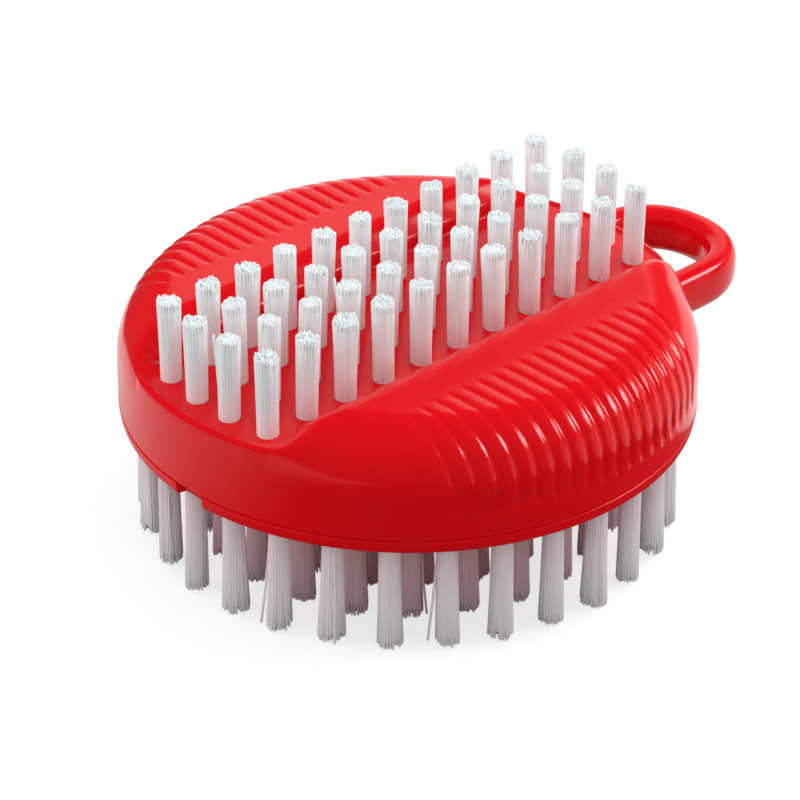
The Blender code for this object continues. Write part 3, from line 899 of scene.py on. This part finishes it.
@dataclass
class Bristles:
    """Tufts of fine strands, four straight rows above and five rings below."""

    body_radius: float = 35.0
    floor: float = 25.7
    plate: float = 14.7
    tuft: float = 2.55
    strand: float = 0.30
    spacing: float = 0.27
    ring_share: float = 0.9
    foot_jitter: float = 0.01
    tip_jitter: float = 0.03
    bend: float = 1.6
    twist: float = 2.399
    core: float = 1.235
    core_rise: float = 0.2
    core_tone: float = 0.4
    taper: float = 0.16
    core_taper: float = 0.9
    tip_size: float = 0.55
    tip_reach: float = 2.2
    root: float = 0.8
    clump_share: float = 0.45
    clump_turn: float = 3.5
    clump_shift: tuple[float, float] = (3.0, -2.0)
    short_share: float = 0.06
    short_cut: float = 0.6
    stray_reach: tuple[float, float] = (0.5, 1.6)
    tone: tuple[float, float] = (0.55, 0.25)
    # Painted reflection of the body's red: pink at each strand's foot, on every lower tuft, and
    # more on the lower tufts near the middle.
    foot_painted_bounce: float = 0.22
    foot_reach: float = 0.9
    low_painted_bounce: float = 0.12
    inner_painted_bounce: float = 0.63
    inner_start: float = 0.56
    inner_reach: float = 0.38
    top_length: float = 10.5
    row_count: int = 4
    top_tufts: int = 11
    outer_margin: float = 3.82
    inner_margin: float = 4.02
    row_spacing: float = 5.66
    low_length: float = 14.7
    rings: int = 5
    ring_margin: float = 3.4
    ring_step: int = 6
    turns: tuple[float, ...] = (0.0, 0.35, 0.59, 0.15, 0.57)
    sides: int = 6
    core_sides: int = 14
    levels: tuple[float, ...] = (0.0, 0.3, 0.65, 0.94, 1.0)
    top_seed: int = 20
    low_seed: int = 30
    top_habit: TuftHabit = TuftHabit(splay=(0.03, 0.18), split=0.05, slant=0.55,
                                     jag=(0.35, 0.75), extra=0.3, stray_share=0.03)
    low_habit: TuftHabit = TuftHabit(splay=(0.08, 0.32), split=0.15, slant=0.5,
                                     jag=(0.3, 0.9), extra=0.0, stray_share=0.5)

    def packing(self) -> tuple[Array, int]:
        """Feet of one tuft's strands in rings, and how many stand in the outermost."""
        rings = []
        radius = (self.tuft - self.strand) / 2.0
        while radius > 0.0:
            count = max(1, round(2.0 * math.pi * radius / self.spacing))
            a = 2.0 * math.pi * (np.arange(count) + 0.5 * (len(rings) % 2)) / count
            rings.append(radius * heading(a))
            radius -= self.ring_share * self.spacing
        return np.concatenate(rings), len(rings[0])

    def top_rows(self) -> list[Array]:
        """Places of the tufts in each straight row."""
        rows = []
        for k in range(self.row_count):
            y = (k - (self.row_count - 1) / 2.0) * self.row_spacing
            outer = k in (0, self.row_count - 1)
            margin = self.outer_margin if outer else self.inner_margin
            half = math.sqrt((self.body_radius - margin) ** 2 - y * y)
            x = np.linspace(-half, half, self.top_tufts)
            rows.append(np.stack([x, np.full_like(x, y)], axis=-1))
        return rows

    def lower_rings(self) -> list[Array]:
        """Places of the tufts in each ring; the first also holds the centre tuft."""
        spacing = (self.body_radius - self.ring_margin) / self.rings
        places = []
        for ring in range(1, self.rings + 1):
            count = ring * self.ring_step
            a = 2.0 * math.pi * (np.arange(count) + self.turns[ring - 1]) / count
            spots = ring * spacing * heading(a)
            if ring == 1:
                spots = np.concatenate([[(0.0, 0.0)], spots])
            places.append(spots)
        return places

    def strands(self, place: Array, style: TuftStyle, length: float,
                rng: np.random.Generator) -> tuple[Array, Array, Array, Array]:
        """Feet, tips, starts and tones of one tuft's strands, its core last.

        The outer strands run the whole length. The inner ones start where the core ends,
        because they show only at their tips.

        Args:
            place: The tuft's middle.
            style: How its strands stand.
            length: Length of a full strand.
            rng: The tuft's own random numbers.

        Returns:
            Feet (n, 2), tips (n, 3) with the length as their last value, starts (n,) as a
            share of the length, and tones (n,).
        """
        feet, outer = self.packing()
        turn = rng.uniform(0.0, 2.0 * math.pi)
        axis = heading(turn)
        feet = feet @ [axis, heading(turn + math.pi / 2)]
        feet += rng.normal(0.0, self.foot_jitter, feet.shape)
        count = len(feet)
        lean = np.array([style.lean_x, style.lean_y])
        shift = feet * style.splay + rng.normal(0.0, self.tip_jitter, feet.shape) + lean
        shift += np.outer(np.sign(feet @ axis) * style.split, axis)
        reach = feet @ heading(style.slant_turn) / (self.tuft / 2.0)
        cut = length + style.extra - style.slant * (1.0 - reach) / 2.0
        wave = np.sin(feet * self.clump_turn + turn * np.array(self.clump_shift))
        clump = 0.5 - 0.5 * wave[:, 0] * wave[:, 1]
        cut -= style.jag * ((1.0 - self.clump_share) * rng.random(count)
                            + self.clump_share * clump)
        cut -= np.where(rng.random(count) < self.short_share,
                        rng.random(count) * self.short_cut, 0.0)
        if style.strays:
            chosen = rng.choice(outer, style.strays, replace=False)
            out = feet[chosen] / np.hypot(feet[chosen, 0], feet[chosen, 1])[:, None]
            shift[chosen] += out * rng.uniform(*self.stray_reach, (style.strays, 1))
        start = np.where(np.arange(count) < outer, 0.0, 1.0 - self.tip_reach / cut)
        tone = np.clip(rng.normal(*self.tone, count), 0.0, 1.0)
        core_cut = length + style.extra - style.slant - style.jag + self.core_rise
        tips = np.concatenate([np.concatenate([feet + shift, cut[:, None]], axis=1),
                               [(*lean, core_cut)]])
        tips[:, :2] += place
        feet = np.concatenate([feet, [(0.0, 0.0)]]) + place
        return feet, tips, np.append(start, 0.0), np.append(tone, self.core_tone)

    def tubes(self, feet: Array, tips: Array, starts: Array, radii: Array, splay: Array,
              tapers: Array, sides: int, base: float,
              direction: float) -> tuple[Array, list[list[int]]]:
        """Points and faces of closed tubes between feet and tips.

        Formula: a tube's middle runs foot + (tip - foot) * t^bend sideways and
        length * t upwards, with a small polygon round it at each level.

        Args:
            feet: Feet of the tubes (n, 2).
            tips: Tips and lengths (n, 3).
            starts: Share of the length at which each tube starts (n,).
            radii: Radius of each tube (n,).
            splay: How much wider each tube is at its tip (n,).
            tapers: Length of each tube's narrowing tip (n,).
            sides: Number of sides.
            base: Height of the face they stand on.
            direction: 1 upwards, -1 downwards.

        Returns:
            Points (n * levels * sides, 3) and faces.
        """
        n, rows = len(feet), len(self.levels)
        t = starts[:, None] + (1.0 - starts[:, None]) * np.array(self.levels)[None, :]
        t[:, -2] = 1.0 - tapers / tips[:, 2]
        bend = t ** self.bend
        middle = feet[:, None, :] + (tips[:, None, :2] - feet[:, None, :]) * bend[..., None]
        z = base + direction * (t * (tips[:, 2:] + self.root) - self.root)
        a = 2.0 * math.pi * np.arange(sides) / sides + (np.arange(n) * self.twist)[:, None, None]
        end = np.where(np.arange(rows) == rows - 1, self.tip_size, 1.0)
        radius = (radii[:, None] * (1.0 + splay[:, None] * bend) * end[None, :])[..., None]
        points = xyz(middle[..., 0, None] + radius * np.cos(a),
                     middle[..., 1, None] + radius * np.sin(a), z[..., None])
        quads = grid_faces(rows, sides, close_cols=True)
        ring = np.arange(sides)
        caps = np.stack([ring[::-1], ring + (rows - 1) * sides])
        if direction < 0:
            quads, caps = quads[:, ::-1], caps[:, ::-1]
        offsets = (np.arange(n) * rows * sides)[:, None, None]
        faces = ((quads[None] + offsets).reshape(-1, 4).tolist()
                 + (caps[None] + offsets).reshape(-1, sides).tolist())
        return points.reshape(-1, 3), faces

    def gather(self, name: str, places: Array, low: bool, seed: int) -> Object:
        """Make all tufts of one row or ring as one piece.

        Args:
            name: Name of the piece.
            places: Middles of the tufts (n, 2).
            low: Whether they hang below the plate.
            seed: Seed of their random numbers.

        Returns:
            The piece, with a tone for each strand and a share of painted red reflection along
            them.
        """
        base, direction = (self.plate, -1.0) if low else (self.floor, 1.0)
        length = self.low_length if low else self.top_length
        habit = self.low_habit if low else self.top_habit
        surface = Surface()
        tones, painted_bounces = [], []
        for k, spot in enumerate(places):
            rng = np.random.default_rng(seed * 100 + k)
            style = habit.draw(rng)
            feet, tips, starts, tone = self.strands(spot, style, length, rng)
            fine = np.full(len(feet) - 1, self.strand / 2.0)
            groups = ((slice(0, -1), fine, np.zeros_like(fine), np.full_like(fine, self.taper),
                       self.sides),
                      (slice(-1, None), np.array([self.core]), np.array([style.splay]),
                       np.array([self.core_taper]), self.core_sides))
            # Painted red reflection: lower tufts get a pink share, more towards the middle of the
            # underside.
            away = math.hypot(*spot) / self.body_radius
            inner = 1.0 - smooth_step((away - self.inner_start) / self.inner_reach)
            tint = self.low_painted_bounce + self.inner_painted_bounce * inner if low else 0.0
            for part, radii, splay, tapers, sides in groups:
                points, faces = self.tubes(feet[part], tips[part], starts[part], radii, splay,
                                           tapers, sides, base, direction)
                surface.add_points(points, faces)
                tones.append(np.repeat(tone[part], len(self.levels) * sides))
                # Painted red reflection at each strand's foot, fading upwards over foot_reach.
                height = (points[:, 2] - base) * direction / length
                foot = 1.0 - smooth_step(height / self.foot_reach)
                painted_bounces.append(self.foot_painted_bounce * foot + tint)
        obj = surface.build(name, sharp=80.0)
        for label, values in (("tone", tones), ("painted_bounce", painted_bounces)):
            layer = obj.data.attributes.new(label, "FLOAT", "POINT")
            shares = np.concatenate(values).clip(0.0, 1.0)
            layer.data.foreach_set("value", shares.astype(np.float32))
        return obj

    def build(self) -> list[tuple[Object, str]]:
        """Make every row and ring.

        Returns:
            Pairs of a piece and the node that it stands for.
        """
        made = []
        for k, places in enumerate(self.top_rows()):
            made.append((self.gather(f"top_tufts_{k + 1}", places, False, self.top_seed + k),
                         f"top_row_{k + 1}"))
        for k, places in enumerate(self.lower_rings()):
            made.append((self.gather(f"lower_tufts_{k + 1}", places, True, self.low_seed + k),
                         f"lower_ring_{k + 1}"))
        return made


# The studio

def stand(obj: Object, place_at: Triple, *axes: Array | Triple) -> None:
    """Put an object at a place and turn it.

    Args:
        obj: The object.
        place_at: Its place in metres.
        *axes: The directions of its own x, y and z.
    """
    matrix = np.eye(4)
    matrix[:3, :3] = np.column_stack(axes)
    matrix[:3, 3] = place_at
    obj.matrix_world = Matrix(matrix.tolist())


def card(name: str, finish: str, corners: Array) -> tuple[Object, Tree]:
    """Lay out one face of the studio.

    Args:
        name: Name of its object.
        finish: Name of its material.
        corners: Its four corners in metres.

    Returns:
        The object and its material's empty node tree.
    """
    mesh = bpy.data.meshes.new(name)
    mesh.from_pydata(corners.tolist(), [], [(0, 1, 2, 3)])
    mat = bpy.data.materials.new(finish)
    mat.use_nodes = True
    mat.node_tree.nodes.clear()
    mesh.materials.append(mat)
    return add_object(name, mesh), mat.node_tree


def clear_where(tree: Tree, mask: Socket,
                shown: bpy.types.Node) -> None:
    """Finish a card's material, which is clear where the mask is 1.

    Args:
        tree: The material's node tree.
        mask: A share from 0 to 1.
        shown: The shader that is seen where the mask is 0.
    """
    clear = add_node(tree, "ShaderNodeBsdfTransparent")
    choose = add_node(tree, "ShaderNodeMixShader", {
        0: mask, 1: shown.outputs[0], 2: clear.outputs[0]})
    add_node(tree, "ShaderNodeOutputMaterial", {"Surface": choose.outputs[0]})


@dataclass(frozen=True)
class SoftBox:
    """A rectangular soft lamp, hidden from the camera."""

    name: str
    place: Triple
    width: float
    height: float
    power: float
    reach: Reach
    aim: Triple = (0.0, 0.0, 0.02)

    def make(self) -> None:
        """Place the lamp so that it faces the point it aims at."""
        data = bpy.data.lights.new(self.name, "AREA")
        data.shape = "RECTANGLE"
        data.size, data.size_y = self.width, self.height
        data.energy = self.power
        obj = add_object(self.name, data)
        back = np.array(self.place) - np.array(self.aim)
        back = back / np.linalg.norm(back)
        right = np.cross([0.0, 0.0, 1.0], back)
        right = right / np.linalg.norm(right)
        stand(obj, self.place, right, np.cross(back, right), back)
        obj.visible_camera = False
        obj.visible_glossy = self.reach is Reach.GLOSS
        obj.visible_diffuse = self.reach is Reach.MATT


@dataclass(frozen=True)
class Flag:
    """A dark studio card that only reflections see, fading out towards one side."""

    name: str
    middle: Triple
    half_width: Triple
    half_depth: Triple
    fade: Triple
    span: tuple[float, float]
    grey: float = 0.1

    def make(self) -> None:
        """Lay out the card; it is dark where dot(place, fade) is below the span."""
        middle, wide, deep = (np.array(v) for v in (self.middle, self.half_width, self.half_depth))
        corners = middle + np.array([-wide - deep, wide - deep, wide + deep, deep - wide])
        obj, tree = card(self.name, f"{self.name}_dark", corners)
        coords = add_node(tree, "ShaderNodeTexCoord")
        along = add_node(tree, "ShaderNodeVectorMath", {
            0: coords.outputs["Object"], 1: self.fade}, operation="DOT_PRODUCT")
        step = add_node(tree, "ShaderNodeMapRange", {
            "Value": along.outputs["Value"], "From Min": self.span[0],
            "From Max": self.span[1]}, interpolation_type="SMOOTHSTEP")
        dark = add_node(tree, "ShaderNodeEmission", {"Strength": self.grey})
        clear_where(tree, step.outputs["Result"], dark)
        obj.visible_camera = False
        obj.visible_diffuse = False
        obj.visible_shadow = False
        obj.visible_transmission = False


@dataclass
class Studio:
    """Camera, lamps, floor and surroundings, all in metres."""

    camera_place: Triple = (-0.26647, -0.28059, 0.24740)
    right: Triple = (0.72833361, -0.68521288, 0.00366861)
    up: Triple = (0.35147212, 0.37817564, 0.85641726)
    back: Triple = (-0.58821552, -0.62246806, 0.51627126)
    focal_pixels: float = 3716.99
    frame_pixels: int = 800
    sensor: float = 36.0
    floor_size: float = 3.0
    floor_seen: float = 0.35
    floor_bounce: float = 0.25
    floor_glow: float = 0.72
    sky: float = 0.85
    lamps: tuple[SoftBox, ...] = (
        SoftBox("key", (0.69, -0.48, 0.565), 0.42, 0.30, 2.2, Reach.MATT),
        SoftBox("key_glint", (0.69, -0.48, 0.565), 0.42, 0.30, 20.0, Reach.GLOSS),
        SoftBox("right", (0.966, 0.0, 0.279), 0.6, 0.45, 4.3, Reach.MATT),
        SoftBox("left", (-0.683, 0.683, 0.279), 0.6, 0.45, 3.0, Reach.MATT))
    flags: tuple[Flag, ...] = (
        Flag("ceiling_flag", (0.0, 0.0, 1.0), (1.2, 1.2, 0.0), (-1.8, 1.8, 0.0),
             (0.69, 0.72, 0.0), (1.48, 1.62)),
        Flag("front_flag", (-0.62, -0.65, 0.5), (0.94, -0.90, 0.0), (0.0, 0.0, 0.5),
             (0.0, 0.0, 1.0), (9.0, 10.0)),
        Flag("right_flag", (0.6, -0.075, 0.21), (0.0, 0.525, 0.0), (0.0, 0.0, 0.15),
             (0.0, 1.0, 0.0), (0.2, 0.42)),
        Flag("left_flag", (-0.30, 0.10, 0.30), (0.36, 0.0, 0.0), (0.0, 0.0, 0.30),
             (1.0, 0.0, 0.0), (0.02, 0.055)),
        Flag("floor_flag", (-0.378, 0.0, 0.0002), (0.422, 0.0, 0.0), (0.0, 0.8, 0.0),
             (-0.64, 0.77, 0.0), (0.025, 0.062)))

    def camera(self) -> None:
        """Make the camera at the photograph's place and angle."""
        data = bpy.data.cameras.new("camera")
        data.sensor_fit = "HORIZONTAL"
        data.sensor_width = self.sensor
        data.lens = self.sensor * self.focal_pixels / self.frame_pixels
        data.clip_start = 0.01
        obj = add_object("camera", data)
        stand(obj, self.camera_place, self.right, self.up, self.back)
        bpy.context.scene.camera = obj

    def seen_white(self, tree: Tree) -> Socket:
        """A mask of camera, glossy and transmission rays."""
        rays = add_node(tree, "ShaderNodeLightPath").outputs
        mask = rays["Is Camera Ray"]
        for ray in ("Is Glossy Ray", "Is Transmission Ray"):
            mask = add_node(tree, "ShaderNodeMath", {0: mask, 1: rays[ray]},
                            operation="MAXIMUM").outputs[0]
        return mask

    def floor(self) -> None:
        """Make the pale floor, which keeps the shadow and is see-through from below."""
        corners = self.floor_size * np.array([(-1, -1, 0), (1, -1, 0), (1, 1, 0), (-1, 1, 0)])
        obj, tree = card("floor", "floor_white", corners)
        seen = self.seen_white(tree)
        tint = add_node(tree, "ShaderNodeMix", {
            "Factor": seen, "A": (self.floor_bounce,) * 3 + (1.0,),
            "B": (self.floor_seen,) * 3 + (1.0,)}, data_type="RGBA")
        diffuse = add_node(tree, "ShaderNodeBsdfDiffuse", {"Color": tint.outputs["Result"]})
        strength = add_node(tree, "ShaderNodeMath", {0: seen, 1: self.floor_glow},
                            operation="MULTIPLY")
        glow = add_node(tree, "ShaderNodeEmission", {"Strength": strength.outputs[0]})
        both = add_node(tree, "ShaderNodeAddShader", {0: diffuse.outputs[0], 1: glow.outputs[0]})
        geometry = add_node(tree, "ShaderNodeNewGeometry")
        clear_where(tree, geometry.outputs["Backfacing"], both)

    def surroundings(self) -> None:
        """Set the soft world light, white where it is seen or mirrored."""
        world = bpy.data.worlds.new("studio")
        bpy.context.scene.world = world
        world.use_nodes = True
        tree = world.node_tree
        level = add_node(tree, "ShaderNodeMapRange", {
            "Value": self.seen_white(tree), "To Min": self.sky, "To Max": 1.0})
        feed(tree, tree.nodes["Background"], {
            "Color": (1.0, 1.0, 1.0, 1.0), "Strength": level.outputs["Result"]})

    def build(self) -> None:
        """Set up the whole studio."""
        bpy.context.scene.view_settings.view_transform = "Standard"
        self.camera()
        self.floor()
        self.surroundings()
        for prop in (*self.flags, *self.lamps):
            prop.make()


def main() -> None:
    """Build every piece in order."""
    logging.basicConfig(level=logging.INFO, format="%(name)s %(message)s")
    Studio().build()
    red = MouldedFinish(
        "red_gloss", light=(0.81, 0.002, 0.008), deep=(0.75, 0.0015, 0.006), low_roughness=0.11,
        high_roughness=0.17, peel=0.2, specular=0.2).make(moulded_skin_group())
    # The pink colour is a painted reflection of the red body on the nylon.
    white = BristleFinish(
        "bristle_nylon", dark=(0.86, 0.915, 0.92), pale=(0.93, 0.97, 0.98),
        painted_bounce=(0.95, 0.42, 0.48), roughness=0.35, specular=0.35).make()
    place(UpperBody().build(), red, Slot.RED, "upper_body")
    place(HangingLoop().build(), red, Slot.RED, "upper_body")
    place(BasePlate().build(), red, Slot.RED, "base_plate")
    for piece, node in Bristles().build():
        place(piece, white, Slot.WHITE, node)


if __name__ == "__main__":
    main()
